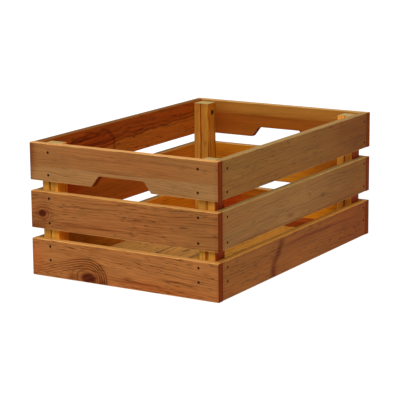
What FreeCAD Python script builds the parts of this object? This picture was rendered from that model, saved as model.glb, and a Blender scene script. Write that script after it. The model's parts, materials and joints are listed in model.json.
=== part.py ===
import FreeCAD, Part
import os
from FreeCAD import Placement, Rotation, Vector

# Slatted softwood storage crate with a hand-hold at each end, in millimetres.
# X runs across the crate from left to right, Y along it from the front end to the rear end, Z up.
# The origin is the middle of the footprint, on the surface that the crate stands on.

# Overall footprint, over the outer faces of the walls
crate_length = 600.0
crate_width = 400.0

# Wall boards: every wall is a stack of level boards with open slots between them
wall_board_width = 70.0
wall_board_thickness = 15.0
wall_slot = 20.0
edge_radius = 1.5            # sanded round on the long edges of boards and cleats
edge_radius_limit = 0.4      # of the thinner side of a piece

# Upright battens, two side by side in each corner
batten_thickness = 17.0      # across the crate
batten_depth = 34.0          # along the crate
batten_radius = 2.5          # planed round on the upright edges, which leaves a groove between the two
batten_top_drop = 4.0        # from the top edge of the walls down to the top of the battens

# Floor panel: thin boards laid lengthwise, nailed to a cleat at each end
floor_board_thickness = 6.0
inner_floor_board_width = 74.0
floor_gap = 4.0
floor_side_clearance = 0.5
floor_end_clearance = 0.5
cleat_height = 14.0

# Hand-hold: a notch in the lower edge of the top board of each end
handle_mouth_width = 128.0
handle_roof_width = 96.0
handle_height = 21.0
handle_corner_radius = 5.0

# Nails
tip_cover = 6.0              # wood left beyond the tip of a nail or screw in a batten or cleat
nail_diameter = 3.0
nail_sink = 0.8              # the head is set this far below the face
nail_edge_margin = 12.0      # from the edge of a wall board, or from the foot of the batten
top_nail_drop = 16.0         # from the top edge of the walls down to the highest nails
front_nail_inset = 17.0      # from the front end of a side board
rear_nail_inset = 9.0        # from the rear end of a side board
floor_nail_margin = 15.0     # from the long edge of a floor board
floor_nail_stagger = 6.0     # to either side of the middle of the cleat, so that the board does not split

# Countersunk screws that join the panels
screw_head_diameter = 8.0
screw_head_rim = 0.6
screw_head_cone = 3.0
screw_shank_diameter = 4.0
screw_tip = 4.0
screw_sink = 1.5             # the head lies this far below the face
corner_screw_inset = 15.0    # from the outer face of the batten
corner_screw_drop = 24.0     # from the top edge of the walls to the upper screw
corner_screw_rise = 26.0     # from the foot of the batten to the lower screw
floor_screw_bite = 15.0      # up into the foot of the end batten
floor_screw_inset = 10.0     # from the inner face of the batten

levels = ("bottom", "middle", "top")
side_signs = {"left": -1, "right": 1}
end_signs = {"front": -1, "rear": 1}

# Places that follow from the sizes above
level_pitch = wall_board_width + wall_slot
crate_height = len(levels) * level_pitch - wall_slot
outer_x = crate_width / 2
outer_y = crate_length / 2
inner_x = outer_x - wall_board_thickness
inner_y = outer_y - wall_board_thickness
batten_foot = floor_board_thickness + cleat_height
batten_seam_x = inner_x - batten_thickness
batten_inner_x = batten_seam_x - batten_thickness
batten_middle_x = batten_seam_x - batten_thickness / 2
batten_inner_y = inner_y - batten_depth   # also the inner edge of the cleat, which is as deep as the battens
cleat_middle_y = inner_y - batten_depth / 2
wall_bite = batten_thickness - tip_cover
cleat_bite = cleat_height - tip_cover

UP = Vector(0, 0, 1)


def bar(low, high, grain, radius=edge_radius):
    """A straight piece between two corners, its four edges along the grain rounded."""
    low, high = Vector(*low), Vector(*high)
    size = high - low
    solid = Part.makeBox(size.x, size.y, size.z, low)
    edges = [edge for edge in solid.Edges if edge.tangentAt(edge.FirstParameter).cross(grain).Length < 0.5]
    return solid.makeFillet(min(radius, edge_radius_limit * min(size)), edges)


def mirrored(value, extent, sign):
    """The low and high end of a span from value to extent on the side that sign gives."""
    return sorted((sign * value, sign * extent))


def placed(shape, point, direction):
    """A turned shape, made along Z from the origin, set at a point and aimed along a direction."""
    copy = shape.copy()
    copy.Placement = Placement(Vector(*point), Rotation(UP, Vector(*direction)))
    return copy


def turned(profile):
    """The solid of revolution about Z of a profile of radius and height pairs."""
    points = [Vector(radius, 0, height) for radius, height in profile]
    face = Part.Face(Part.makePolygon(points + points[:1]))
    return face.revolve(Vector(0, 0, 0), UP, 360)


class Fastener:
    """A nail or screw on its line: the solid itself, and the bore that it fills."""

    def __init__(self, point, direction, solid, bore):
        self.solid = placed(solid, point, direction)
        self.bore = placed(bore, point, direction)


def nail(point, direction, board_thickness, bite):
    """A round nail through a board and into the wood behind it, its head set below the face."""
    radius = nail_diameter / 2
    depth = board_thickness + bite
    solid = Part.makeCylinder(radius, depth - nail_sink, Vector(0, 0, nail_sink))
    return Fastener(point, direction, solid, Part.makeCylinder(radius, depth))


def screw(point, direction, board_thickness, bite):
    """A countersunk screw through a piece and into the wood behind it."""
    head, shank = screw_head_diameter / 2, screw_shank_diameter / 2
    depth = board_thickness + bite
    neck = screw_sink + screw_head_rim + screw_head_cone
    body = [(head, screw_sink + screw_head_rim), (shank, neck), (shank, depth - screw_tip), (0, depth)]
    solid = turned([(0, screw_sink), (head, screw_sink)] + body)
    bore = turned([(0, 0), (head, 0)] + body)
    return Fastener(point, direction, solid, bore)


def bored(solid, fasteners):
    """The piece with the bores of the fasteners that pass through or into it."""
    bores = [item.bore for item in fasteners if item.bore.BoundBox.intersect(solid.BoundBox)]
    return solid.cut(bores) if bores else solid


def level_bottom(level):
    return levels.index(level) * level_pitch


def nail_heights(level):
    """Two nails to a board, near its edges, and always above the foot of the batten behind it."""
    low = level_bottom(level)
    drop = top_nail_drop if level == "top" else nail_edge_margin
    return (max(low, batten_foot) + nail_edge_margin, low + wall_board_width - drop)


def end_nails(end):
    """Nails along Y, through the end boards into the middle of the end battens."""
    sign = end_signs[end]
    return [nail((side * batten_middle_x, sign * outer_y, z), (0, -sign, 0), wall_board_thickness, wall_bite)
            for level in levels for z in nail_heights(level) for side in side_signs.values()]


def side_nails(side):
    """Nails along X, through the side boards into the side battens."""
    sign = side_signs[side]
    rows = (front_nail_inset - inner_y, inner_y - rear_nail_inset)
    return [nail((sign * outer_x, y, z), (-sign, 0, 0), wall_board_thickness, wall_bite)
            for level in levels for z in nail_heights(level) for y in rows]


def corner_screws():
    """Screws along X, from inside the crate through the end battens into the side battens."""
    y = inner_y - corner_screw_inset
    heights = (batten_foot + corner_screw_rise, crate_height - corner_screw_drop)
    return [screw((side * batten_inner_x, end * y, z), (side, 0, 0), batten_thickness, wall_bite)
            for side in side_signs.values() for end in end_signs.values() for z in heights]


def floor_screws():
    """Screws from below, through the floor panel into the feet of the end battens."""
    y = batten_inner_y + floor_screw_inset
    return [screw((side * batten_middle_x, end * y, 0), (0, 0, 1), batten_foot, floor_screw_bite)
            for side in side_signs.values() for end in end_signs.values()]


# Distance from the middle of the crate to the near and far edge of the floor boards of either side
floor_spans = {"inner": (floor_gap / 2, floor_gap / 2 + inner_floor_board_width)}
floor_spans["outer"] = (floor_spans["inner"][1] + floor_gap, inner_x - floor_side_clearance)


def floor_nails():
    """Nails from below, two through each end of a floor board into the cleat above it."""
    places = [(x, y) for near, far in floor_spans.values()
              for x, y in ((near + floor_nail_margin, cleat_middle_y - floor_nail_stagger),
                           (far - floor_nail_margin, cleat_middle_y + floor_nail_stagger))]
    return [nail((side * x, end * y, 0), (0, 0, 1), floor_board_thickness, cleat_bite)
            for side in side_signs.values() for end in end_signs.values() for x, y in places]


def hand_hold(end):
    """The notch of a top end board: a trapezium through the board, rounded in its upper corners."""
    z = level_bottom("top")
    mouth, roof = handle_mouth_width / 2, handle_roof_width / 2
    slope = (mouth - roof) / handle_height
    below = edge_radius * 2   # carried below the board, at the same slope, so that the cut is clean
    foot = mouth + slope * below
    outline = [(-foot, z - below), (foot, z - below), (roof, z + handle_height), (-roof, z + handle_height)]
    y = mirrored(inner_y - edge_radius, outer_y + edge_radius, end_signs[end])[0]
    points = [Vector(x, y, height) for x, height in outline]
    face = Part.Face(Part.makePolygon(points + points[:1]))
    prism = face.extrude(Vector(0, wall_board_thickness + 2 * edge_radius, 0))
    corners = [edge for edge in prism.Edges
               if abs(edge.CenterOfMass.z - z - handle_height) < 0.01 and abs(edge.CenterOfMass.x) > roof / 2]
    return prism.makeFillet(handle_corner_radius, corners)


def end_board(end, level):
    """A board across an end, covering the ends of the side boards."""
    low_y, high_y = mirrored(inner_y, outer_y, end_signs[end])
    z = level_bottom(level)
    return bar((-outer_x, low_y, z), (outer_x, high_y, z + wall_board_width), Vector(1, 0, 0))


def side_board(side, level):
    """A board along a side, between the two ends."""
    low_x, high_x = mirrored(inner_x, outer_x, side_signs[side])
    z = level_bottom(level)
    return bar((low_x, -inner_y, z), (high_x, inner_y, z + wall_board_width), Vector(0, 1, 0))


def batten(end, side, near_x, far_x):
    """An upright in a corner, standing on the cleat."""
    low_x, high_x = mirrored(near_x, far_x, side_signs[side])
    low_y, high_y = mirrored(batten_inner_y, inner_y, end_signs[end])
    return bar((low_x, low_y, batten_foot), (high_x, high_y, crate_height - batten_top_drop), UP, batten_radius)


def cleat(end):
    """A cross piece on the floor boards, between the side walls."""
    low_y, high_y = mirrored(batten_inner_y, inner_y, end_signs[end])
    return bar((-inner_x, low_y, floor_board_thickness), (inner_x, high_y, batten_foot), Vector(1, 0, 0))


def floor_board(side, near, far):
    """A thin board along the floor, between the two end walls."""
    low_x, high_x = mirrored(near, far, side_signs[side])
    reach = inner_y - floor_end_clearance
    return bar((low_x, -reach, 0), (high_x, reach, floor_board_thickness), Vector(0, 1, 0))


def crate():
    """Every piece of the crate by name, each group of fasteners as one shape of separate solids."""
    end_nail_sets = {end: end_nails(end) for end in end_signs}
    side_nail_sets = {side: side_nails(side) for side in side_signs}
    corner_set, floor_nail_set, floor_screw_set = corner_screws(), floor_nails(), floor_screws()
    parts = {}
    for level in levels:
        for end, nails in end_nail_sets.items():
            board = end_board(end, level)
            if level == "top":
                board = board.cut(hand_hold(end))
            parts[f"{end}_end_{level}_board"] = bored(board, nails)
        for side, nails in side_nail_sets.items():
            parts[f"{side}_side_{level}_board"] = bored(side_board(side, level), nails)
    for end in end_signs:
        for side in side_signs:
            inner = batten(end, side, batten_inner_x, batten_seam_x)
            outer = batten(end, side, batten_seam_x, inner_x)
            inner_set = end_nail_sets[end] + corner_set + floor_screw_set
            parts[f"{end}_{side}_end_batten"] = bored(inner, inner_set)
            parts[f"{end}_{side}_side_batten"] = bored(outer, side_nail_sets[side] + corner_set)
        parts[f"{end}_cleat"] = bored(cleat(end), floor_nail_set + floor_screw_set)
    for side in side_signs:
        for row, span in floor_spans.items():
            board = floor_board(side, *span)
            parts[f"{side}_{row}_floor_board"] = bored(board, floor_nail_set + floor_screw_set)
    groups = {f"{end}_end_nails": nails for end, nails in end_nail_sets.items()}
    groups.update({f"{side}_side_nails": nails for side, nails in side_nail_sets.items()})
    groups.update(corner_screws=corner_set, floor_nails=floor_nail_set, floor_screws=floor_screw_set)
    for name, fasteners in groups.items():
        parts[name] = Part.makeCompound([item.solid for item in fasteners])
    return parts


os.makedirs("parts", exist_ok=True)
for name, shape in crate().items():
    shape.exportStep(os.path.join("parts", name + ".step"))
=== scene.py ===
"""Looks of a slatted softwood storage crate, in a plain studio.

Its boards, battens and cleats get stained pine, its nails rust, and its screws their threads and recesses.
"""
import json
import math
from dataclasses import dataclass, replace

import bmesh
import bpy
from bpy.props import FloatProperty, FloatVectorProperty, PointerProperty
from mathutils import Euler, Matrix, Vector

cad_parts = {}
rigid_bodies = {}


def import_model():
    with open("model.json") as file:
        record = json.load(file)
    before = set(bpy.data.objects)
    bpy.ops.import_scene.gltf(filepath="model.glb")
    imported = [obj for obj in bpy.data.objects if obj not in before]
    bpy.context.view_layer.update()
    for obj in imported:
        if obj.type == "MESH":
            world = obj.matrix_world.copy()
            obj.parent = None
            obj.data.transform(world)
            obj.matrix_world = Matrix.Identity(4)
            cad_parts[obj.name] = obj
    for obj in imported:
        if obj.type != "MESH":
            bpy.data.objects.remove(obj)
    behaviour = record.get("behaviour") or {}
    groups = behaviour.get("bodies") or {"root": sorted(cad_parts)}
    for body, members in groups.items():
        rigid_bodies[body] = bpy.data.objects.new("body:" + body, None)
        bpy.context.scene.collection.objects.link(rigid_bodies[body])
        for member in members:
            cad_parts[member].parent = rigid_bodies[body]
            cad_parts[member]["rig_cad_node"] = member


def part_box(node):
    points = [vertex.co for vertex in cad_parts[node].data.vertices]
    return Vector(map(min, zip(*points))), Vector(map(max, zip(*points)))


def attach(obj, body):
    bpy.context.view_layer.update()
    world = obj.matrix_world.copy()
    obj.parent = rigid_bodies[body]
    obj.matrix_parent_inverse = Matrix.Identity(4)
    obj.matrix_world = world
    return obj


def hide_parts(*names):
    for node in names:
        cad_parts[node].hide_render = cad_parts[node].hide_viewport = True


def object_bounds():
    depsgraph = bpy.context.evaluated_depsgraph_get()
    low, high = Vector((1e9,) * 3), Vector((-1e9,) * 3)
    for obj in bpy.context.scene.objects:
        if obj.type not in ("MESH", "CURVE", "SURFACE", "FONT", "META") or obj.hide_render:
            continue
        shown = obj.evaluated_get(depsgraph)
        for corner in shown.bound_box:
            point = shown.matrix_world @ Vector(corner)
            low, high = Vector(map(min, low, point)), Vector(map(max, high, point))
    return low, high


bl_info = {
    "name": "Slatted Crate",
    "version": (1, 0, 0),
    "blender": (4, 5, 0),
    "location": "View3D > Sidebar > Crate",
    "description": "Dresses a slatted softwood crate and sets it in a plain studio",
    "category": "Object",
}

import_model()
CAD_BOX = [list(corner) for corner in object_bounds()]

X, Y, Z = 0, 1, 2

# Sizes that the solids also have, in metres
NAIL_RADIUS = 0.0015
NAIL_INSET = 0.012          # from the long edge of a wall board to its nails
SCREW_HEAD_RADIUS = 0.004
SCREW_RIM = 0.0006          # height of the straight rim of the head
SCREW_CONE = 0.0030         # height of the cone under the rim
SCREW_THREAD_RADIUS = 0.0020
SCREW_TIP = 0.0040          # length over which the screw runs to a point
SCREW_SINK = 0.0015         # from the face of a batten down to the head

# Finer sizes of the screws, which only this script gives
SCREW_CORE_RADIUS = 0.0014
SCREW_PITCH = 0.0020
SCREW_BEVEL = 0.0003        # width of the bevel round the face of the head
SCREW_SIDES = 40

RELIEF = 0.0004             # height of the wood's grain
FLOOR_DROP = 0.0003         # the studio floor lies this far under the crate, so that the two don't flicker


# Shader maths

class Signal:
    """An output socket that takes part in expressions; each operator adds a Math node."""

    def __init__(self, tree, socket):
        self.tree = tree
        self.socket = socket

    def __add__(self, other):
        return self.tree.math("ADD", self, other)

    def __radd__(self, other):
        return self.tree.math("ADD", other, self)

    def __sub__(self, other):
        return self.tree.math("SUBTRACT", self, other)

    def __rsub__(self, other):
        return self.tree.math("SUBTRACT", other, self)

    def __mul__(self, other):
        return self.tree.math("MULTIPLY", self, other)

    def __rmul__(self, other):
        return self.tree.math("MULTIPLY", other, self)

    def __truediv__(self, other):
        return self.tree.math("DIVIDE", self, other)

    def __rtruediv__(self, other):
        return self.tree.math("DIVIDE", other, self)

    def __pow__(self, other):
        return self.tree.math("POWER", self, other)

    def __rpow__(self, other):
        return self.tree.math("POWER", other, self)

    def __abs__(self):
        return self.tree.math("ABSOLUTE", self)


# Sockets of a Mix node set to colours: its factor and two colours, and the mixed colour among its outputs
MIX_FACTOR, MIX_FIRST, MIX_SECOND, MIX_COLOUR = 0, 6, 7, 2


class ShaderTree:
    """The node tree of one material, emptied and ready for expressions."""

    def __init__(self, name):
        self.material = bpy.data.materials.new(name)
        self.material.use_nodes = True
        self.nodes = self.material.node_tree.nodes
        self.links = self.material.node_tree.links
        self.nodes.clear()

    def node(self, kind, settings=None, values=None):
        """A node of any kind: its settings first, then the values or links of its sockets."""
        made = self.nodes.new(kind)
        for name, value in (settings or {}).items():
            if name == "stops":
                ramp = made.color_ramp.elements
                while len(ramp) < len(value):
                    ramp.new(1.0)
                for stop, (position, level) in zip(ramp, value):
                    stop.position = position
                    stop.color = (level, level, level, 1.0)
            else:
                setattr(made, name, value)
        for key, value in (values or {}).items():
            if isinstance(value, Signal):
                self.links.new(value.socket, made.inputs[key])
            else:
                made.inputs[key].default_value = value
        return made

    def signal(self, kind, settings=None, values=None, output=0):
        return Signal(self, self.node(kind, settings, values).outputs[output])

    def axes(self, vector):
        """The three parts of a vector."""
        return [Signal(self, part) for part in self.node("ShaderNodeSeparateXYZ", None, {0: vector}).outputs]

    def math(self, operation, *values):
        return self.signal("ShaderNodeMath", {"operation": operation}, dict(enumerate(values)))

    def smaller(self, first, second):
        return self.math("MINIMUM", first, second)

    def larger(self, first, second):
        return self.math("MAXIMUM", first, second)

    def length(self, *parts):
        """Length of the vector that has these parts."""
        return sum((part * part for part in parts[1:]), parts[0] * parts[0]) ** 0.5

    def bell(self, value, width=1.0):
        """A soft bump, 1 where the value is 0 and about a third where it is the width."""
        share = value / width
        return self.math("EXPONENT", share * share * -1.0)

    def step(self, value, low, high):
        """A soft step from 0 at low to 1 at high; low may be the larger of the two."""
        return self.signal("ShaderNodeMapRange", {"interpolation_type": "SMOOTHSTEP"},
                           {"Value": value, "From Min": low, "From Max": high})

    def ramp(self, value, stops):
        return self.signal("ShaderNodeValToRGB", {"stops": stops}, {"Fac": value})

    def vector(self, x, y, z):
        return self.signal("ShaderNodeCombineXYZ", None, {"X": x, "Y": y, "Z": z})

    def noise(self, vector, scale, detail=2.0, roughness=0.5):
        return self.signal("ShaderNodeTexNoise", None,
                           {"Vector": vector, "Scale": scale, "Detail": detail, "Roughness": roughness})

    def mix(self, factor, first, second, blend="MIX"):
        """Two colours, mixed; a colour is a signal or three numbers."""
        values = {MIX_FACTOR: factor}
        for socket, colour in ((MIX_FIRST, first), (MIX_SECOND, second)):
            values[socket] = colour if isinstance(colour, Signal) else (*colour, 1.0)
        return self.signal("ShaderNodeMix", {"data_type": "RGBA", "blend_type": blend}, values, MIX_COLOUR)

    def bump(self, height, distance, strength):
        return self.signal("ShaderNodeBump", None,
                           {"Height": height, "Distance": distance, "Strength": strength})

    def finish(self, **values):
        """A Principled surface from named sockets, wired to the output."""
        sockets = {name.replace("_", " "): value for name, value in values.items()}
        shader = self.signal("ShaderNodeBsdfPrincipled", None, sockets)
        self.node("ShaderNodeOutputMaterial", None, {"Surface": shader})
        return self.material


# Sizes and colours that a user may change

def colour_property(name, description, default):
    return FloatVectorProperty(name=name, description=description, subtype="COLOR", size=3,
                               min=0.0, max=1.0, default=default)


def length_property(name, description, default):
    return FloatProperty(name=name, description=description, unit="LENGTH", default=default)


class WoodSettings(bpy.types.PropertyGroup):
    """Colours of the stained pine."""

    stain: colour_property("Stain", "Colour of the broad early wood", (0.222, 0.080, 0.021))
    ring: colour_property("Ring", "Colour of the dark late wood of each year ring", (0.080, 0.017, 0.003))
    sapwood: colour_property("Sapwood", "Colour of the pale outer wood", (0.236, 0.101, 0.031))
    knot: colour_property("Knot", "Colour of the knots", (0.042, 0.005, 0.0015))
    end_grain: colour_property("End grain", "Colour of the sawn ends, where the stain soaks in",
                               (0.125, 0.014, 0.001))
    # The edge colour: partly rubbed wood, partly a painted highlight on the sawn edges whose tops catch the
    # light from above
    edge_wear_and_highlight: colour_property("Worn edge", "Colour of edges where the stain is thin", (0.46, 0.25, 0.085))
    # Inside paints light on the inner faces: brighter and redder, standing in for the warm light bounced
    # about inside the crate
    inside: colour_property("Inside", "Tint of the inner faces, which keep warmer stain", (1.45, 0.95, 0.35))
    batten: colour_property("Batten", "Colour of the yellow battens", (0.36, 0.137, 0.015))
    batten_top: colour_property("Batten top", "Colour of the sawn tops of the battens", (0.36, 0.25, 0.090))
    floor: colour_property("Floor board", "Colour of the thin floor boards", (0.385, 0.184, 0.042))


class StudioSettings(bpy.types.PropertyGroup):
    """Camera, floor and lamps."""

    azimuth: FloatProperty(name="Azimuth", description="Camera direction round the crate, from its front end",
                           subtype="ANGLE", default=math.radians(31.315))
    elevation: FloatProperty(name="Elevation", description="Camera angle above the horizon",
                             subtype="ANGLE", default=math.radians(12.35))
    roll: FloatProperty(name="Roll", description="Camera turned about its own axis",
                        subtype="ANGLE", default=math.radians(-0.479))
    focal_length: FloatProperty(name="Focal length", description="In millimetres, on a film 36 wide",
                                default=149.66)
    eye: FloatVectorProperty(name="Eye", description="Where the camera stands", subtype="TRANSLATION",
                             default=(1.62143, -2.69584, 0.79414))
    floor_size: length_property("Floor size", "Side of the studio floor", 60.0)
    floor_colour: colour_property("Floor", "Colour of the studio floor", (0.25, 0.25, 0.25))
    floor_glow: FloatProperty(name="Floor glow", description="Light that comes up through the floor",
                              default=0.78)
    sky: FloatProperty(name="Sky", description="Brightness of the even light from all round", default=0.22)
    key: FloatProperty(name="Key", description="Strength of the soft lamp in front", default=3.4)
    overhead: FloatProperty(name="Overhead", description="Strength of the soft lamp overhead", default=1.5)


# Looks of single pieces of wood

@dataclass
class Look:
    """What sets one piece of wood apart, in metres from its middle: u along the grain, v across it."""

    pith: tuple                       # the heart of the tree: its place across and behind the outer face
    lean: tuple                       # how far the heart moves in those two ways for each metre along u
    ring: float                       # width of a year ring
    tone: tuple                       # tint of the whole piece
    seed: float                       # sets the noise of the piece apart
    bold: float = 1.0                 # how strongly the rings and fibres show
    base: tuple = None                # colour of the broad early wood, or None for the stain
    sap: tuple = None                 # pale outer wood: v of its border, and the side of it, -1 or 1
    marks: tuple = ()                 # soft spots and streaks: u, v, length, width and tint
    inner_marks: tuple = ()           # the same on the inner face only
    inner: tuple = None               # tint of the inner face, painted light and shade on it, or None for the same colour as outside
    knots: tuple = ()                 # u, v, radius, stretch along u, reach of the rings arched over it, and
                                      # how far the grain spreads round it
    branch: float = None              # u of a branch that ran across the piece
    figure: tuple = None              # a wavy dark line: its v at the two ends
    arch: tuple = None                # one bold ring that arches: u, v and its reach along and across
    edges: tuple = None               # colour of the sawn long edges, or None for the colour of rubbed edges with their painted highlight
    edge: tuple = (1.0, 1.0, 1.0)     # tint of the sawn long edges, partly painted highlight, raised where an edge lies in shade in a gap
    edge_grain: float = 0.45          # how strongly the rings show on them
    rub: float = 0.45                 # how much the arrises are rubbed
    ends: tuple = None                # colour of the sawn ends, or None for end grain
    heart: tuple = (1.45, 2.3, 1.0)   # tint of the middle of the sawn ends
    nails: tuple = None               # u and half spacing, then v and half spacing, of the nails' heads
    screws: tuple = None              # u and half spacing of the screws' heads, and their place across


# The front end and the right side show from outside, the left side and the rear end from inside
WALL_BOARDS = {
    "front_end_top_board": Look(
        pith=(0.170, 0.060), lean=(-0.04, 0.02), ring=0.0050, tone=(0.92, 1.0, 1.08), seed=1.3, bold=0.65,
        sap=(-0.006, -1), edge=(1.30, 1.18, 1.1),
        marks=((-0.012, -0.0065, 0.055, 0.0016, (0.60, 0.50, 0.45)),
               (-0.200, 0.012, 0.011, 0.036, (0.62, 0.44, 0.38)),
               (-0.050, 0.015, 0.050, 0.0022, (0.78, 0.72, 0.7)),
               (0.110, 0.020, 0.070, 0.0018, (0.82, 0.76, 0.72)),
               (0.150, 0.000, 0.080, 0.05, (0.93, 0.98, 1.0)))),
    "front_end_middle_board": Look(
        pith=(0.190, 0.060), lean=(0.045, -0.02), ring=0.0050, tone=(0.98, 0.98, 0.97), seed=4.1, bold=1.15,
        knots=((-0.175, -0.006, 0.0078, 1.25, 0.0, 0.9),), edge=(1.28, 1.12, 0.85),
        marks=((-0.005, 0.028, 0.006, 0.0016, (0.6, 0.5, 0.5)),
               (-0.045, -0.022, 0.055, 0.0020, (0.65, 0.55, 0.5)),
               (-0.192, -0.031, 0.026, 0.008, (0.50, 0.42, 0.36)),
               (0.165, 0.000, 0.080, 0.060, (0.82, 0.86, 0.88)),
               (-0.110, -0.024, 0.030, 0.005, (0.8, 0.7, 0.65)))),
    "front_end_bottom_board": Look(
        pith=(-0.150, 0.050), lean=(-0.05, 0.00), ring=0.0052, tone=(1.10, 1.10, 1.08), seed=7.7, bold=1.0,
        knots=((-0.074, -0.027, 0.0125, 1.50, 0.039, 0.3),), edge=(1.28, 1.12, 0.85),
        marks=((-0.190, -0.004, 0.016, 0.024, (1.08, 0.82, 0.8)),
               (0.070, -0.030, 0.110, 0.012, (1.0, 0.78, 0.68)),
               (0.030, -0.022, 0.050, 0.003, (0.65, 0.52, 0.45)),
               (0.110, -0.010, 0.030, 0.0018, (0.6, 0.5, 0.4)),
               (0.175, 0.012, 0.007, 0.005, (0.82, 0.75, 0.7)),
               (0.010, -0.016, 0.012, 0.003, (0.7, 0.6, 0.5)),
               (-0.060, 0.030, 0.020, 0.008, (0.85, 0.80, 0.75)),
               (-0.110, -0.029, 0.014, 0.007, (0.55, 0.45, 0.38)),
               (-0.043, -0.030, 0.007, 0.005, (0.5, 0.4, 0.35)))),
    "right_side_top_board": Look(
        pith=(0.140, 0.090), lean=(0.02, 0.01), ring=0.0060, tone=(0.91, 1.06, 0.80), seed=9.2, bold=0.75,
        edge=(0.70, 0.76, 0.78),
        marks=((0.062, -0.008, 0.012, 0.0018, (0.75, 0.68, 0.6)),
               (0.300, 0.0, 0.200, 0.2, (0.72, 0.52, 0.30)),
               (0.200, 0.010, 0.120, 0.006, (0.9, 0.85, 0.8)))),
    "right_side_middle_board": Look(
        pith=(-0.120, 0.080), lean=(0.02, 0.00), ring=0.0060, tone=(1.03, 1.28, 1.33), seed=12.6, bold=0.7,
        edge=(0.80, 0.85, 0.75),
        marks=((-0.034, -0.020, 0.012, 0.0022, (0.62, 0.52, 0.45)),
               (0.095, -0.008, 0.010, 0.0035, (0.7, 0.62, 0.55)),
               (0.290, 0.0, 0.170, 0.2, (0.76, 0.62, 0.36)),
               (-0.160, -0.034, 0.080, 0.006, (0.85, 0.7, 0.6)),
               (0.100, -0.034, 0.200, 0.004, (0.85, 0.72, 0.6)))),
    "right_side_bottom_board": Look(
        pith=(0.110, 0.070), lean=(-0.02, 0.01), ring=0.0056, tone=(1.00, 0.93, 0.66), seed=15.8, bold=0.9,
        branch=-0.102, edge=(0.92, 0.72, 0.36),
        marks=((0.060, 0.016, 0.110, 0.0040, (0.76, 0.56, 0.42)),
               (0.280, 0.0, 0.220, 0.2, (0.83, 0.59, 0.35)))),
    "left_side_top_board": Look(
        pith=(0.060, -0.055), lean=(0.03, 0.02), ring=0.0050, tone=(1.0, 0.86, 0.75), seed=18.4, bold=0.9,
        edge=(0.41, 0.29, 0.17), figure=(-0.013, 0.009), arch=(-0.090, -0.008, 0.046, 0.032),
        marks=((-0.140, 0.016, 0.060, 0.0020, (0.45, 0.36, 0.3)),
               (-0.120, 0.004, 0.060, 0.0030, (0.55, 0.42, 0.36)))),
    "left_side_middle_board": Look(
        pith=(-0.110, -0.075), lean=(0.01, 0.02), ring=0.0052, tone=(1.0, 0.9, 0.8), seed=21.5, bold=0.7,
        edge=(0.8, 0.7, 0.5),
        inner_marks=((0.235, 0.0, 0.090, 0.2, (1.35, 1.75, 1.2)),
                     (-0.250, 0.0, 0.070, 0.2, (2.2, 0.95, 0.3)))),
    "left_side_bottom_board": Look(
        pith=(0.080, -0.060), lean=(-0.02, 0.02), ring=0.0050, tone=(1.0, 0.95, 0.8), seed=24.2, bold=0.8,
        edge=(0.8, 0.7, 0.5), inner=(2.1, 1.80, 0.60),
        inner_marks=((0.190, 0.0, 0.120, 0.2, (1.06, 1.10, 0.5)),)),
    "rear_end_top_board": Look(
        pith=(-0.140, -0.070), lean=(0.03, 0.00), ring=0.0050, tone=(1.0, 0.95, 0.8), seed=27.9, bold=0.35,
        sap=(0.010, 1), inner=(0.92, 0.70, 0.32),
        marks=((0.000, 0.028, 1.0, 0.016, (1.36, 1.78, 2.35)),
               # A darker patch at the left end, next to the batten: painted shade in the corner
               (-0.165, -0.010, 0.045, 0.06, (0.74, 0.55, 0.4)),
               (-0.020, 0.008, 0.120, 0.0030, (0.8, 0.7, 0.6)))),
    "rear_end_middle_board": Look(
        pith=(0.150, -0.080), lean=(-0.02, 0.01), ring=0.0052, tone=(1.1, 1.1, 0.8), seed=30.3, bold=0.5,
        inner=(1.30, 1.32, 0.40),
        marks=((-0.130, 0.010, 0.030, 0.02, (0.8, 0.62, 0.5)),),
        inner_marks=((0.110, 0.0, 0.055, 0.2, (0.74, 0.58, 0.7)),)),
    "rear_end_bottom_board": Look(
        pith=(-0.150, -0.070), lean=(0.04, 0.00), ring=0.0048, tone=(1.0, 1.0, 0.9), seed=33.1, bold=0.8,
        inner=(1.75, 1.65, 0.40),
        inner_marks=((-0.118, 0.010, 0.062, 0.2, (0.54, 0.17, 0.24)),
                     (-0.040, 0.025, 0.050, 0.2, (0.62, 0.58, 0.6)),
                     (0.095, 0.0, 0.060, 0.2, (1.65, 1.70, 1.3)))),
}


# Battens of each corner: tint, raised above the rear left one's as painted light where the battens lie in
# shade, width of the dark seam between the two, and how brightly the inner side of the end batten is painted,
# as painted light
CORNERS = {
    "front_left": ((1.20, 1.45, 1.7), 0.0008, 1.75),
    "front_right": ((1.20, 1.42, 1.8), 0.0026, 1.0),
    "rear_left": ((1.00, 1.03, 1.2), 0.0010, 1.0),
    "rear_right": ((2.25, 2.45, 2.8), 0.0012, 1.0),
}


def node_object(name):
    """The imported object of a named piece."""
    return next(o for o in bpy.context.scene.objects if o.get("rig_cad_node") == name)


def dress(name, material):
    """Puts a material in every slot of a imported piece."""
    mesh_object = node_object(name)
    if not mesh_object.material_slots:
        raise RuntimeError(f"{name} has no material slot")
    for slot in mesh_object.material_slots:
        slot.link = "OBJECT"
        slot.material = material


def scaled(colour, factors):
    """A colour with each of its channels multiplied."""
    return [channel * factor for channel, factor in zip(colour, factors)]


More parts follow.
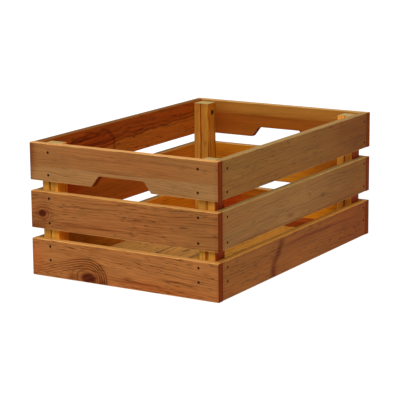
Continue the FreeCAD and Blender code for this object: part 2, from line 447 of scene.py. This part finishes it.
class Plank:
    """One straight piece of wood: where a point lies in it, and which way its surface faces."""

    def __init__(self, name, grain_axis, face_axis, seed):
        low, high = (Vector(corner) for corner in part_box(name))
        half, centre = (high - low) / 2, (high + low) / 2
        cross_axis = 3 - grain_axis - face_axis
        # Which way along the face axis the outer face looks, away from the middle of the crate
        self.outward = 1.0 if centre[face_axis] > 0 else -1.0
        self.tree = ShaderTree(name + "_wood")
        self.seed = seed
        place = self.tree.axes(self.tree.signal("ShaderNodeTexCoord", output="Object"))
        normal = self.tree.axes(self.tree.signal("ShaderNodeTexCoord", output="Normal"))
        self.u = place[grain_axis] - centre[grain_axis]
        self.v = place[cross_axis] - centre[cross_axis]
        # Depth behind the outer face
        self.w = (centre[face_axis] - place[face_axis]) * self.outward + half[face_axis]
        self.half_u, self.half_v, self.thickness = half[grain_axis], half[cross_axis], 2 * half[face_axis]
        self.end = self.tree.step(abs(normal[grain_axis]), 0.35, 0.80)
        self.edge = self.tree.step(abs(normal[cross_axis]), 0.45, 0.85)
        self.inner = self.tree.step(normal[face_axis] * -self.outward, 0.45, 0.85)

    def field(self, along, across, shift, detail=2.0, roughness=0.5):
        """Noise stretched along the grain: along and across are its features a metre."""
        place = self.tree.vector(self.u * along + (self.seed + shift), self.v * across, self.w * across)
        return self.tree.noise(place, 1.0, detail, roughness)

    def spot(self, u, v, length, width, ragged=0.0):
        """A soft oval, 1 in its middle."""
        du, dv = (self.u - u) / length, (self.v - v + ragged) / width
        return self.tree.math("EXPONENT", (du * du + dv * dv) * -1.0)


class Knots:
    """The knots of a plank, and the year rings that go round them."""

    def __init__(self, plank, knots):
        self.pushed = self.core = self.halo = self.bark = self.arches = self.arched = 0.0
        for u, v, radius, stretch, arch, spread in knots:
            self.add(plank, plank.u - u, plank.v - v, radius, stretch, arch, spread)

    def add(self, plank, du, dv, radius, stretch, arch, spread):
        """One knot: how it pushes the grain aside, its core, the dark wood about it and its rings of bark."""
        tree = plank.tree
        away = tree.length(du / stretch, dv)
        self.pushed = self.pushed - tree.bell(away, radius * 2.3) * dv * spread
        if arch:
            self.arch_over(plank, du, dv, radius, arch)
        away = away * (0.78 + plank.field(70, 70, 21.0) * 0.44) / radius
        self.core = tree.larger(tree.step(away, 1.22, 0.55), self.core)
        self.halo = tree.larger(tree.bell(away, 1.9), self.halo)
        bark = tree.larger(tree.bell(away - 1.42, 0.12), tree.bell(away - 2.05, 0.18) * 0.4)
        self.bark = tree.larger(bark, self.bark)

    def arch_over(self, plank, du, dv, radius, reach):
        """Year rings that run in from the left, pass over the knot and close on its right."""
        tree = plank.tree
        left, right = tree.smaller(du, 0.0), tree.larger(du, 0.0) / 1.1
        run_in = ((left * left + 0.0006) ** 0.5 - 0.0245) * 0.27
        far = tree.length(right, dv) + run_in + (plank.field(14, 40, 23.0) - 0.5) * 0.007
        inside = tree.step(far, reach * 1.04, reach * 0.94)
        hoop_width = 0.0046
        hoops = tree.ramp(tree.math("FRACT", far / hoop_width),
                          [(0.0, 0.1), (0.30, 0.1), (0.62, 1.0), (0.86, 0.9), (1.0, 0.1)])
        outside_knot = tree.step(far, radius * 1.1, radius * 1.5)
        faint = 1.0 - tree.step(du, -0.020, -0.080) * 0.45
        self.arches = tree.larger(hoops * inside * outside_knot * faint, self.arches)
        self.arched = tree.larger(inside, self.arched)


class Timber(Plank):
    """Solid pine. Its grain is laid out first, and each later method adds something to its colour."""

    def __init__(self, name, grain_axis, face_axis, look, settings):
        super().__init__(name, grain_axis, face_axis, look.seed)
        self.look, self.settings = look, settings
        self.knots = Knots(self, look.knots)
        self.ring_colour = scaled(settings.ring, look.tone)
        self.colour = None
        self.grow()

    def cover(self, amount, colour):
        self.colour = self.tree.mix(amount, self.colour, colour)

    def tint(self, amount, shade):
        self.colour = self.tree.mix(amount, self.colour, shade, blend="MULTIPLY")

    def grow(self):
        """Year rings about the heart of the tree, and the fibres and short dark dashes that follow them."""
        tree, look, u, v, w = self.tree, self.look, self.u, self.v, self.w
        wander = (self.field(4, 14, 0.0, 3.0, 0.55) - 0.5) * 0.020 + (self.field(24, 70, 5.0) - 0.5) * 0.0026
        across = v - look.pith[0] - u * look.lean[0] + self.knots.pushed
        behind = w - look.pith[1] - u * look.lean[1]
        radius = tree.length(across, behind) + wander
        years = radius / look.ring

        # Thin dark late wood, some years bold and some hardly there, broken up along the grain
        year = tree.noise(tree.vector(tree.math("FLOOR", years) * 0.73 + look.seed, 0.0, 0.0), 1.0, 0.0)
        profile = tree.ramp(tree.math("FRACT", years),
                            [(0.0, 0.1), (0.38, 0.06), (0.64, 0.45), (0.86, 1.0), (0.96, 0.5), (1.0, 0.1)])
        patchy = tree.step(self.field(11, 60, 9.0, 3.0), 0.34, 0.66)
        self.late = profile * tree.step(year, 0.30, 0.70) * (0.25 + patchy * 0.75)
        if look.knots:
            self.late = self.late * (1.0 - self.knots.arched) + self.knots.arches

        along = u * 26 + look.seed
        self.fibre = tree.noise(tree.vector(along * 0.5, radius * 560, w * 40), 1.0, 3.0, 0.65)
        dash = tree.step(tree.noise(tree.vector(along * 1.8, radius * 480, w * 60), 1.0, 1.0), 0.57, 0.67)
        self.dash = dash * tree.step(self.field(9, 45, 4.0), 0.38, 0.60)
        self.mottle = self.field(6, 30, 6.0, 3.0, 0.6)
        self.rough = self.field(300, 700, 12.0, 3.0, 0.7)

    def stain(self):
        """The stain on early wood, sapwood and late wood, light and dark with the fibres."""
        tree, look, settings = self.tree, self.look, self.settings
        stain = scaled(look.base or settings.stain, look.tone)
        blush = tree.step(self.field(3.5, 18, 7.0), 0.45, 0.72)
        self.colour = tree.mix(blush * 0.45, stain, scaled(stain, (1.03, 0.82, 0.70)))
        if look.sap:
            border, side = look.sap
            offset = self.v - border + (self.field(3, 3, 8.0) - 0.5) * 0.006
            self.cover(tree.step(offset * side, -0.0012, 0.0022) * 0.9, scaled(settings.sapwood, look.tone))
        self.cover(self.late * (0.80 * look.bold), self.ring_colour)
        fibres = (tree.step(self.fibre, 0.33, 0.67) - 0.5) * (0.34 * look.bold)
        dashes = self.dash * (0.60 * min(look.bold, 1.0) ** 2)
        light = 1.05 + fibres + (self.mottle - 0.5) * 0.55 - dashes
        self.tint(1.0, tree.vector(light, light, light))

    def marks(self, marks, where=1.0):
        """Soft spots and streaks, with a ragged outline."""
        ragged = 0.008
        for u, v, length, width, shade in marks:
            spot = self.spot(u, v, length, width, (self.mottle - 0.5) * ragged)
            self.tint(spot * where, shade)

    def branch(self, place):
        """A branch that ran across the board: a dark red band that bends towards the lower edge."""
        tree, v = self.tree, self.v
        bend = self.u - place - tree.step(v, -0.022, 0.034) * 0.031 + (self.mottle - 0.5) * 0.016
        width = 0.0052 + self.field(50, 90, 15.0) * 0.012
        self.tint(tree.bell(bend, width) * tree.step(v, 0.040, 0.024) * 0.85, (0.46, 0.30, 0.18))
        red = tree.bell(bend, width * 0.5) * tree.step(v, -0.008, -0.024)
        self.cover(red * 0.8, self.settings.end_grain)

    def figure(self, start_v, end_v):
        """A wavy dark line along the board, with fresher wood below it and redder wood above."""
        tree = self.tree
        slope = (end_v - start_v) / (2 * self.half_u)
        waves = (self.field(10, 4, 17.0, 4.0, 0.6) - 0.5) * 0.030
        line = self.v - start_v - (self.u + self.half_u) * slope + waves
        self.tint(tree.step(line, 0.001, -0.005) * 0.75, (1.20, 1.45, 1.5))
        self.tint(tree.step(line, 0.000, 0.006) * 0.6, (0.85, 0.66, 0.6))
        streak = tree.larger(tree.bell(line, 0.0014), tree.bell(line - 0.008, 0.0022) * 0.6)
        self.tint(streak * 0.85, (0.38, 0.26, 0.20))

    def arch(self, u, v, reach_u, reach_v):
        """A bold year ring that rises slowly, arches over redder wood and drops on the right."""
        tree = self.tree
        du, dv = (self.u - u) / reach_u, (self.v - v) / reach_v
        left, right = tree.smaller(du, 0.0) / 3.2, tree.larger(du, 0.0)
        far = tree.length(left, right, dv) + (self.field(20, 34, 19.0, 3.0, 0.6) - 0.5) * 0.7
        self.tint(tree.step(far, 1.0, 0.8) * 0.6, (0.95, 0.68, 0.55))
        self.tint(tree.bell(far - 1.0, 0.085) * 0.80, (0.46, 0.30, 0.22))

    def darken_knots(self):
        """The rings arched over the knots, the dark wood about them, their bark and their cores."""
        knots = self.knots
        self.tint(knots.arches * 0.50, (0.55, 0.42, 0.36))
        self.tint(knots.halo * 0.6, (0.62, 0.46, 0.40))
        self.cover(knots.bark * 0.75, self.ring_colour)
        self.cover(knots.core * (0.55 + self.field(90, 220, 25.0) * 0.75), self.settings.knot)

    def saw_edges(self):
        """Sawn long edges, paler partly because they took less stain and partly as a painted highlight, and
        their rubbed arrises.
        """
        tree, look, settings = self.tree, self.look, self.settings
        edges = scaled(look.edges or settings.edge_wear_and_highlight, look.edge)
        sawn_edge = tree.mix(self.late * look.edge_grain + self.mottle * 0.20, edges, self.ring_colour)
        self.cover(self.edge * 0.96, sawn_edge)
        reach, half_w = 0.0020, self.thickness / 2
        by_v = tree.step(abs(self.v), self.half_v - reach, self.half_v - reach * 0.3)
        by_w = tree.step(abs(self.w - half_w), half_w - reach, half_w - reach * 0.3)
        rubbed = by_v * by_w * tree.step(self.field(26, 120, 11.0, 3.0, 0.6), 0.40, 0.60)
        self.cover(rubbed * look.rub, scaled(settings.edge_wear_and_highlight, look.edge))

    def saw_ends(self):
        """Sawn ends, which soak up stain, and a dark border on the faces next to them."""
        tree, look, rough = self.tree, self.look, self.rough
        ends = look.ends or self.settings.end_grain
        border = 0.010
        soaked = tree.step(abs(self.u) + (self.mottle - 0.5) * 0.012, self.half_u - border, self.half_u)
        self.tint(soaked * 0.35, (0.72, 0.55, 0.50))
        dark, light = scaled(ends, (0.80, 0.70, 0.7)), scaled(ends, (1.25, 1.45, 1.4))
        sawn = tree.mix(tree.step(rough, 0.35, 0.75), dark, light)
        sawn = tree.mix(self.late * 0.6, sawn, scaled(ends, (0.45, 0.3, 0.3)))
        middle = tree.step(abs(self.w - self.thickness / 2), self.thickness * 0.40, self.thickness * 0.12)
        sawn = tree.mix(middle * rough * 1.1, sawn, scaled(ends, look.heart))
        self.cover(self.end, sawn)

    def stain_nails(self, middle_u, gap_u, middle_v, gap_v):
        """A dark stain round each nail."""
        full, faded = 0.0020, 0.0030
        away = self.tree.length(abs(self.u - middle_u) - gap_u, abs(self.v - middle_v) - gap_v)
        stained = self.tree.step(away, faded, full)
        self.cover(stained * 0.95, scaled(self.settings.knot, (0.25, 0.40, 0.53)))

    def shade_screw_holes(self, middle_u, gap_u, across):
        """Painted shade: a dark ring on the wood round the sunk screw heads, where the holes lie in shade."""
        full, faded = 0.0046, 0.0062
        du = abs(self.u - middle_u) - gap_u
        away = self.tree.length(du, self.w - self.thickness / 2 + across * self.outward)
        screw_hole_shade = self.tree.step(away, faded, full)
        self.cover(screw_hole_shade * 0.9, scaled(self.settings.knot, (0.5, 0.5, 0.5)))

    def surface(self):
        """The finished material, its relief and gloss from the same grain."""
        late, fibre, core, end = self.late, self.fibre, self.knots.core, self.end
        height = 0.5 - late * 0.35 + fibre * 0.5 - self.dash * 0.8 + core * 0.5 + self.rough * end * 1.5
        roughness = 0.60 - late * 0.10 + (fibre - 0.5) * 0.18 + end * 0.2 - core * 0.1
        return self.tree.finish(Base_Color=self.colour, Roughness=roughness, Specular_IOR_Level=0.05,
                                Specular_Tint=(1.0, 0.5, 0.2, 1.0),
                                Normal=self.tree.bump(height, RELIEF, 0.6))


def wood(name, grain_axis, face_axis, look, settings):
    """The pine of one piece, its grain along one axis and its outer face across another."""
    timber = Timber(name, grain_axis, face_axis, look, settings)
    timber.stain()
    timber.marks(look.marks)
    if look.branch is not None:
        timber.branch(look.branch)
    if look.figure:
        timber.figure(*look.figure)
    if look.arch:
        timber.arch(*look.arch)
    if look.knots:
        timber.darken_knots()
    # Painted light and shade on the inner face
    if look.inner:
        timber.tint(timber.inner, look.inner)
    timber.marks(look.inner_marks, where=timber.inner)
    timber.saw_edges()
    timber.saw_ends()
    if look.nails:
        timber.stain_nails(*look.nails)
    if look.screws:
        timber.shade_screw_holes(*look.screws)
    return timber.surface()


def steel(name, shade, rust, scale):
    """Dull steel with a film of rust."""
    tree = ShaderTree(name)
    place = tree.signal("ShaderNodeTexCoord", output="Object")
    spots = tree.step(tree.noise(place, scale, 4.0, 0.6), 0.42, 0.62)
    colour = tree.mix(spots, shade, rust)
    height = tree.noise(place, scale * 3.0, 3.0, 0.6)
    return tree.finish(Base_Color=colour, Metallic=0.6 - spots * 0.5, Roughness=0.5 + spots * 0.3,
                       Specular_IOR_Level=0.15, Normal=tree.bump(height, 0.0001, 0.4))


class CRATE_OT_wall_boards(bpy.types.Operator):
    """Stain and grain of the twelve wall boards"""

    bl_idname = "crate.wall_boards"
    bl_label = "Wall Boards"

    def nail_heads(self, name, axis):
        """Middle and half spacing of a board's nail heads, first along it and then up it, from its middle."""
        low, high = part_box(name)
        wall = name.split("_")[0]
        nail_low, nail_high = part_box(f"{wall}_end_nails" if axis == X else f"{wall}_side_nails")
        middle = (nail_low[axis] + nail_high[axis]) / 2
        gap = (nail_high[axis] - nail_low[axis]) / 2 - NAIL_RADIUS
        foot = max(low[Z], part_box("front_left_end_batten")[0][Z]) + NAIL_INSET
        top = nail_high[Z] - NAIL_RADIUS if "_top_" in name else high[Z] - NAIL_INSET
        return middle, gap, (top + foot) / 2 - (low[Z] + high[Z]) / 2, (top - foot) / 2

    def execute(self, context):
        settings = context.scene.crate_wood
        for name, look in WALL_BOARDS.items():
            along, outward = (X, Y) if "_end_" in name else (Y, X)
            # Boards without a tint of their own get the painted light of the Inside setting on their inner
            # face
            look = replace(look, nails=self.nail_heads(name, along), inner=look.inner or settings.inside)
            dress(name, wood(name, along, outward, look, settings))
        return {"FINISHED"}


class CRATE_OT_battens(bpy.types.Operator):
    """Straight yellow grain of the corner battens and the floor cleats"""

    bl_idname = "crate.battens"
    bl_label = "Battens and Cleats"

    def screw_heads(self, name):
        """Middle and half spacing of a batten's screw heads up it, and their place along the crate."""
        low, high = (Vector(corner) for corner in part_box(name))
        screw_low, screw_high = (Vector(corner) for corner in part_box("corner_screws"))
        middle = (low + high) / 2
        screw_z = (screw_low.z + screw_high.z) / 2
        gap_z = (screw_high.z - screw_low.z) / 2 - SCREW_HEAD_RADIUS
        screw_y = math.copysign(screw_high.y - SCREW_HEAD_RADIUS, middle.y)
        return screw_z - middle.z, gap_z, screw_y - middle.y

    def batten(self, settings, corner, kind, number):
        """One upright: the end batten of a corner shows its yellow inner side, the side batten a red one."""
        name = f"{corner}_{kind}_batten"
        (red, green, blue), seam, glow = CORNERS[corner]
        if kind == "end":
            # glow paints light on the inner side of the end batten
            sides = scaled(settings.batten, (1.45 * min(red, 1.2) * glow, 1.22 * glow, 0.72))
        else:
            sides = scaled(settings.stain, (1.45, 0.36, 0.06))
        # A dark seam where the two battens of the corner meet: partly stain, partly painted shadow in the gap
        # between their rounded edges
        low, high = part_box(name)
        to_joint = (high[X] - low[X]) / 2 * (-1.0 if corner.endswith("left") else 1.0)
        seam_stain_and_shadow = (0.0, to_joint if kind == "end" else -to_joint, 1.0, seam, (0.28, 0.08, 0.03))
        # The corner's tint carries painted light for the battens that lie in shade
        look = Look(pith=(0.06 + 0.01 * number, 0.05), lean=(0.01, 0.0), ring=0.0030,
                    tone=(red - 0.04 * (number % 3), green - 0.03 * (number % 2), blue),
                    seed=50.0 + 3.1 * number, bold=0.7, base=settings.batten, marks=(seam_stain_and_shadow,),
                    ends=settings.batten_top, heart=(1.1, 1.1, 1.1), edges=sides, edge_grain=0.9, rub=0.0,
                    screws=self.screw_heads(name) if kind == "end" else None)
        dress(name, wood(name, Z, Y, look, settings))

    def cleat(self, settings, end, number):
        """One of the red-brown bars across the ends of the floor; its darker, redder colour is partly painted
        shade.
        """
        name = f"{end}_cleat"
        # The red tone and edges are partly painted shade on the cleat's faces
        look = Look(pith=(0.08, 0.05), lean=(0.01, 0.0), ring=0.0042, tone=(1.06, 0.56, 0.28),
                    seed=90.0 + number, bold=0.6, rub=0.1, edges=scaled(settings.stain, (1.04, 0.50, 0.25)))
        dress(name, wood(name, X, Z, look, settings))

    def execute(self, context):
        settings = context.scene.crate_wood
        uprights = [(f"{end}_{side}", kind)
                    for end in ("front", "rear") for side in ("left", "right") for kind in ("end", "side")]
        for number, (corner, kind) in enumerate(uprights):
            self.batten(settings, corner, kind, number)
        for number, end in enumerate(("front", "rear")):
            self.cleat(settings, end, number)
        return {"FINISHED"}


class CRATE_OT_floor_boards(bpy.types.Operator):
    """Flat grain of the thin floor boards"""

    bl_idname = "crate.floor_boards"
    bl_label = "Floor Boards"

    def execute(self, context):
        settings = context.scene.crate_wood
        names = [f"{side}_{row}_floor_board" for side in ("left", "right") for row in ("outer", "inner")]
        for number, name in enumerate(names, 1):
            tone = (1.0, 1.0 - 0.03 * (number % 2), 1.0)
            if name == "right_inner_floor_board":
                tone = (0.93, 0.81, 0.48)
            look = Look(pith=(0.02 * number - 0.05, 0.05), lean=(0.03, 0.01), ring=0.0048, tone=tone,
                        seed=70.0 + 4.7 * number, base=settings.floor)
            dress(name, wood(name, Y, Z, look, settings))
        return {"FINISHED"}


class CRATE_OT_nails(bpy.types.Operator):
    """Dark rusty heads of the nails"""

    bl_idname = "crate.nails"
    bl_label = "Nails"

    def execute(self, context):
        rusty = steel("rusty_nail", (0.006, 0.004, 0.003), (0.010, 0.003, 0.001), 900.0)
        for panel in ("front_end", "rear_end", "left_side", "right_side", "floor"):
            dress(f"{panel}_nails", rusty)
        return {"FINISHED"}


def recess_depth(x, y):
    """Depth of the cross recess in a screw head, at a point of its face."""
    half_width, reach, deep = 0.00062, 0.0024, 0.0019
    side_slope, end_slope = 0.00025, 0.0008
    inside = 0.0
    for along, across in ((abs(x), abs(y)), (abs(y), abs(x))):
        wall = min((half_width - across) / side_slope, (reach - along) / end_slope)
        slant = 0.55 + 0.45 * (1.0 - min(along / reach, 1.0))
        inside = max(inside, min(max(wall, 0.0), 1.0) * slant)
    return deep * inside


def thread_radius(z, angle, length):
    """Radius of a screw at a height and an angle: a ridge that winds round its core, less at the tip."""
    turn = (z / SCREW_PITCH - angle / (2 * math.pi)) % 1.0
    ridge = max(0.0, 1.0 - abs(turn - 0.5) / 0.24)
    radius = SCREW_CORE_RADIUS + (SCREW_THREAD_RADIUS - SCREW_CORE_RADIUS) * ridge
    return radius * min(1.0, (length - z) / SCREW_TIP)


def screw_rows(length):
    """Rows of points of a screw, from the middle of its head to its tip.

    The screw's axis is Z, and the face of its head is at 0.
    """
    face_rows, rows_a_turn = 22, 8
    bevel_depth, shank, blunt = 0.0002, 0.0010, 0.0003
    angles = [2 * math.pi * side / SCREW_SIDES for side in range(SCREW_SIDES)]
    rows = []
    for row in range(1, face_rows):
        radius = (SCREW_HEAD_RADIUS - SCREW_BEVEL) * row / (face_rows - 1)
        points = [(radius * math.cos(a), radius * math.sin(a)) for a in angles]
        rows.append([(x, y, recess_depth(x, y)) for x, y in points])
    neck = SCREW_RIM + SCREW_CONE
    outline = ((SCREW_HEAD_RADIUS, bevel_depth), (SCREW_HEAD_RADIUS, SCREW_RIM), (SCREW_THREAD_RADIUS, neck))
    for radius, z in outline:
        rows.append([(radius * math.cos(a), radius * math.sin(a), z) for a in angles])
    z = neck + shank
    while z < length - blunt:
        radii = [thread_radius(z, a, length) for a in angles]
        rows.append([(radius * math.cos(a), radius * math.sin(a), z) for radius, a in zip(radii, angles)])
        z += SCREW_PITCH / rows_a_turn
    return rows


def add_screw(shape, length, place):
    """One closed screw, moved to its place, in the mesh of its set."""
    rows = [[shape.verts.new(place @ Vector(point)) for point in row] for row in screw_rows(length)]
    middle = shape.verts.new(place @ Vector((0.0, 0.0, recess_depth(0.0, 0.0))))
    point = shape.verts.new(place @ Vector((0.0, 0.0, length)))
    for side in range(SCREW_SIDES):
        after = (side + 1) % SCREW_SIDES
        shape.faces.new((middle, rows[0][side], rows[0][after]))
        shape.faces.new((point, rows[-1][after], rows[-1][side]))
        for row, below in zip(rows, rows[1:]):
            shape.faces.new((row[side], below[side], below[after], row[after]))


class CRATE_OT_screws(bpy.types.Operator):
    """Countersunk screws with cross recesses and threads"""

    bl_idname = "crate.screws"
    bl_label = "Screws"

    def corner_places(self):
        """Head, direction and length of the screws along X, from inside the crate."""
        low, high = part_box("corner_screws")
        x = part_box("front_right_end_batten")[0][X] + SCREW_SINK
        y = high[Y] - SCREW_HEAD_RADIUS
        for side in (-1, 1):
            for end in (-1, 1):
                for z in (low[Z] + SCREW_HEAD_RADIUS, high[Z] - SCREW_HEAD_RADIUS):
                    yield (side * x, end * y, z), (side, 0, 0), high[X] - x

    def floor_places(self):
        """Head, direction and length of the screws up through the floor."""
        low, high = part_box("floor_screws")
        x, y = high[X] - SCREW_HEAD_RADIUS, high[Y] - SCREW_HEAD_RADIUS
        for side in (-1, 1):
            for end in (-1, 1):
                yield (side * x, end * y, low[Z]), (0, 0, 1), high[Z] - low[Z]

    def execute(self, context):
        # The zinc is dark partly from dirt and partly as painted shade in the sunk heads' recesses
        zinc = steel("zinc_screw", (0.040, 0.034, 0.028), (0.012, 0.006, 0.004), 700.0)
        for node, places in (("corner_screws", self.corner_places()), ("floor_screws", self.floor_places())):
            shape = bmesh.new()
            for number, (head, direction, length) in enumerate(places):
                turned = Matrix.Rotation(0.4 + 0.7 * number, 4, "Z")
                aim = Vector(direction).to_track_quat("Z", "Y").to_matrix().to_4x4()
                add_screw(shape, length, Matrix.Translation(head) @ aim @ turned)
            bmesh.ops.recalc_face_normals(shape, faces=shape.faces)
            mesh = bpy.data.meshes.new(node + "_cut")
            shape.to_mesh(mesh)
            shape.free()
            mesh.materials.append(zinc)
            screws = bpy.data.objects.new(node + "_cut", mesh)
            context.scene.collection.objects.link(screws)
            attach(screws, "root")
            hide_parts(node)
        return {"FINISHED"}


class CRATE_OT_studio(bpy.types.Operator):
    """Pale floor, soft lamps and the camera"""

    bl_idname = "crate.studio"
    bl_label = "Studio"

    def execute(self, context):
        scene = context.scene
        settings = scene.crate_studio
        self.floor(scene, settings)
        self.sky(scene, settings)
        self.lamp(scene, "key", settings.key, azimuth=21.0, elevation=38.0, softness=30.0)
        self.lamp(scene, "overhead", settings.overhead, azimuth=0.0, elevation=88.0, softness=60.0)
        self.camera(scene, settings)
        scene.view_settings.view_transform = "Standard"
        return {"FINISHED"}

    def floor(self, scene, settings):
        """A pale plane that glows a little, but not under the crate, where its glow and colour drop as a
        painted shadow.
        """
        half = settings.floor_size / 2
        corners = [(-half, -half), (half, -half), (half, half), (-half, half)]
        mesh = bpy.data.meshes.new("studio_floor")
        mesh.from_pydata([(x, y, -FLOOR_DROP) for x, y in corners], [], [(0, 1, 2, 3)])
        plane = bpy.data.objects.new("studio_floor", mesh)
        scene.collection.objects.link(plane)
        tree = ShaderTree("studio_floor")
        place = tree.axes(tree.signal("ShaderNodeTexCoord", output="Object"))
        # How far inside the crate's outline the glow starts, and where it is full; further inside, the floor
        # is dark as a painted shadow
        start, full = 0.03, 0.002
        beyond = [tree.step(abs(place[axis]), CAD_BOX[1][axis] - start, CAD_BOX[1][axis] - full)
                  for axis in (X, Y)]
        outside = tree.larger(*beyond)
        # Darker floor colour under the crate: painted shadow
        shaded = tree.mix(outside, scaled(settings.floor_colour, (0.1, 0.1, 0.1)), settings.floor_colour)
        mesh.materials.append(tree.finish(
            Base_Color=shaded, Roughness=0.9, Specular_IOR_Level=0.0,
            Emission_Color=tree.vector(outside, outside, outside), Emission_Strength=settings.floor_glow))

    def sky(self, scene, settings):
        """Even white light from all round."""
        world = bpy.data.worlds.new("studio_sky")
        world.use_nodes = True
        background = world.node_tree.nodes["Background"]
        background.inputs["Color"].default_value = (1.0, 1.0, 1.0, 1.0)
        background.inputs["Strength"].default_value = settings.sky
        scene.world = world

    def lamp(self, scene, name, strength, azimuth, elevation, softness):
        """A distant soft lamp; the azimuth is counted as the camera's is."""
        light = bpy.data.lights.new(name, "SUN")
        light.energy = strength
        light.angle = math.radians(softness)
        lamp = bpy.data.objects.new(name, light)
        lamp.rotation_euler = (math.radians(90.0 - elevation), 0.0, math.radians(azimuth))
        scene.collection.objects.link(lamp)

    def camera(self, scene, settings):
        """The camera at the photograph's viewing angle."""
        data = bpy.data.cameras.new("camera")
        data.sensor_width = 36.0
        data.lens = settings.focal_length
        camera = bpy.data.objects.new("camera", data)
        level = Euler((math.pi / 2 - settings.elevation, 0.0, settings.azimuth)).to_matrix()
        roll = Matrix.Rotation(settings.roll, 3, "Z")
        camera.matrix_world = Matrix.Translation(settings.eye) @ (level @ roll).to_4x4()
        scene.collection.objects.link(camera)
        scene.camera = camera


class CRATE_PT_sidebar(bpy.types.Panel):
    """Lists the pieces of the crate and the studio"""

    bl_label = "Slatted Crate"
    bl_idname = "CRATE_PT_sidebar"
    bl_space_type = "VIEW_3D"
    bl_region_type = "UI"
    bl_category = "Crate"

    def draw(self, context):
        for operator in OPERATORS:
            self.layout.operator(operator.bl_idname)
        for settings in (context.scene.crate_wood, context.scene.crate_studio):
            for name in settings.__annotations__:
                self.layout.prop(settings, name)


OPERATORS = (CRATE_OT_wall_boards, CRATE_OT_battens, CRATE_OT_floor_boards, CRATE_OT_nails,
             CRATE_OT_screws, CRATE_OT_studio)
CLASSES = (WoodSettings, StudioSettings, *OPERATORS, CRATE_PT_sidebar)


def register():
    for cls in CLASSES:
        bpy.utils.register_class(cls)
    bpy.types.Scene.crate_wood = PointerProperty(type=WoodSettings)
    bpy.types.Scene.crate_studio = PointerProperty(type=StudioSettings)


def unregister():
    del bpy.types.Scene.crate_wood
    del bpy.types.Scene.crate_studio
    for cls in reversed(CLASSES):
        bpy.utils.unregister_class(cls)


def main():
    """Registers the add-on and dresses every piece."""
    register()
    bpy.ops.crate.wall_boards()
    bpy.ops.crate.battens()
    bpy.ops.crate.floor_boards()
    bpy.ops.crate.nails()
    bpy.ops.crate.screws()
    bpy.ops.crate.studio()


if __name__ == "__main__":
    main()
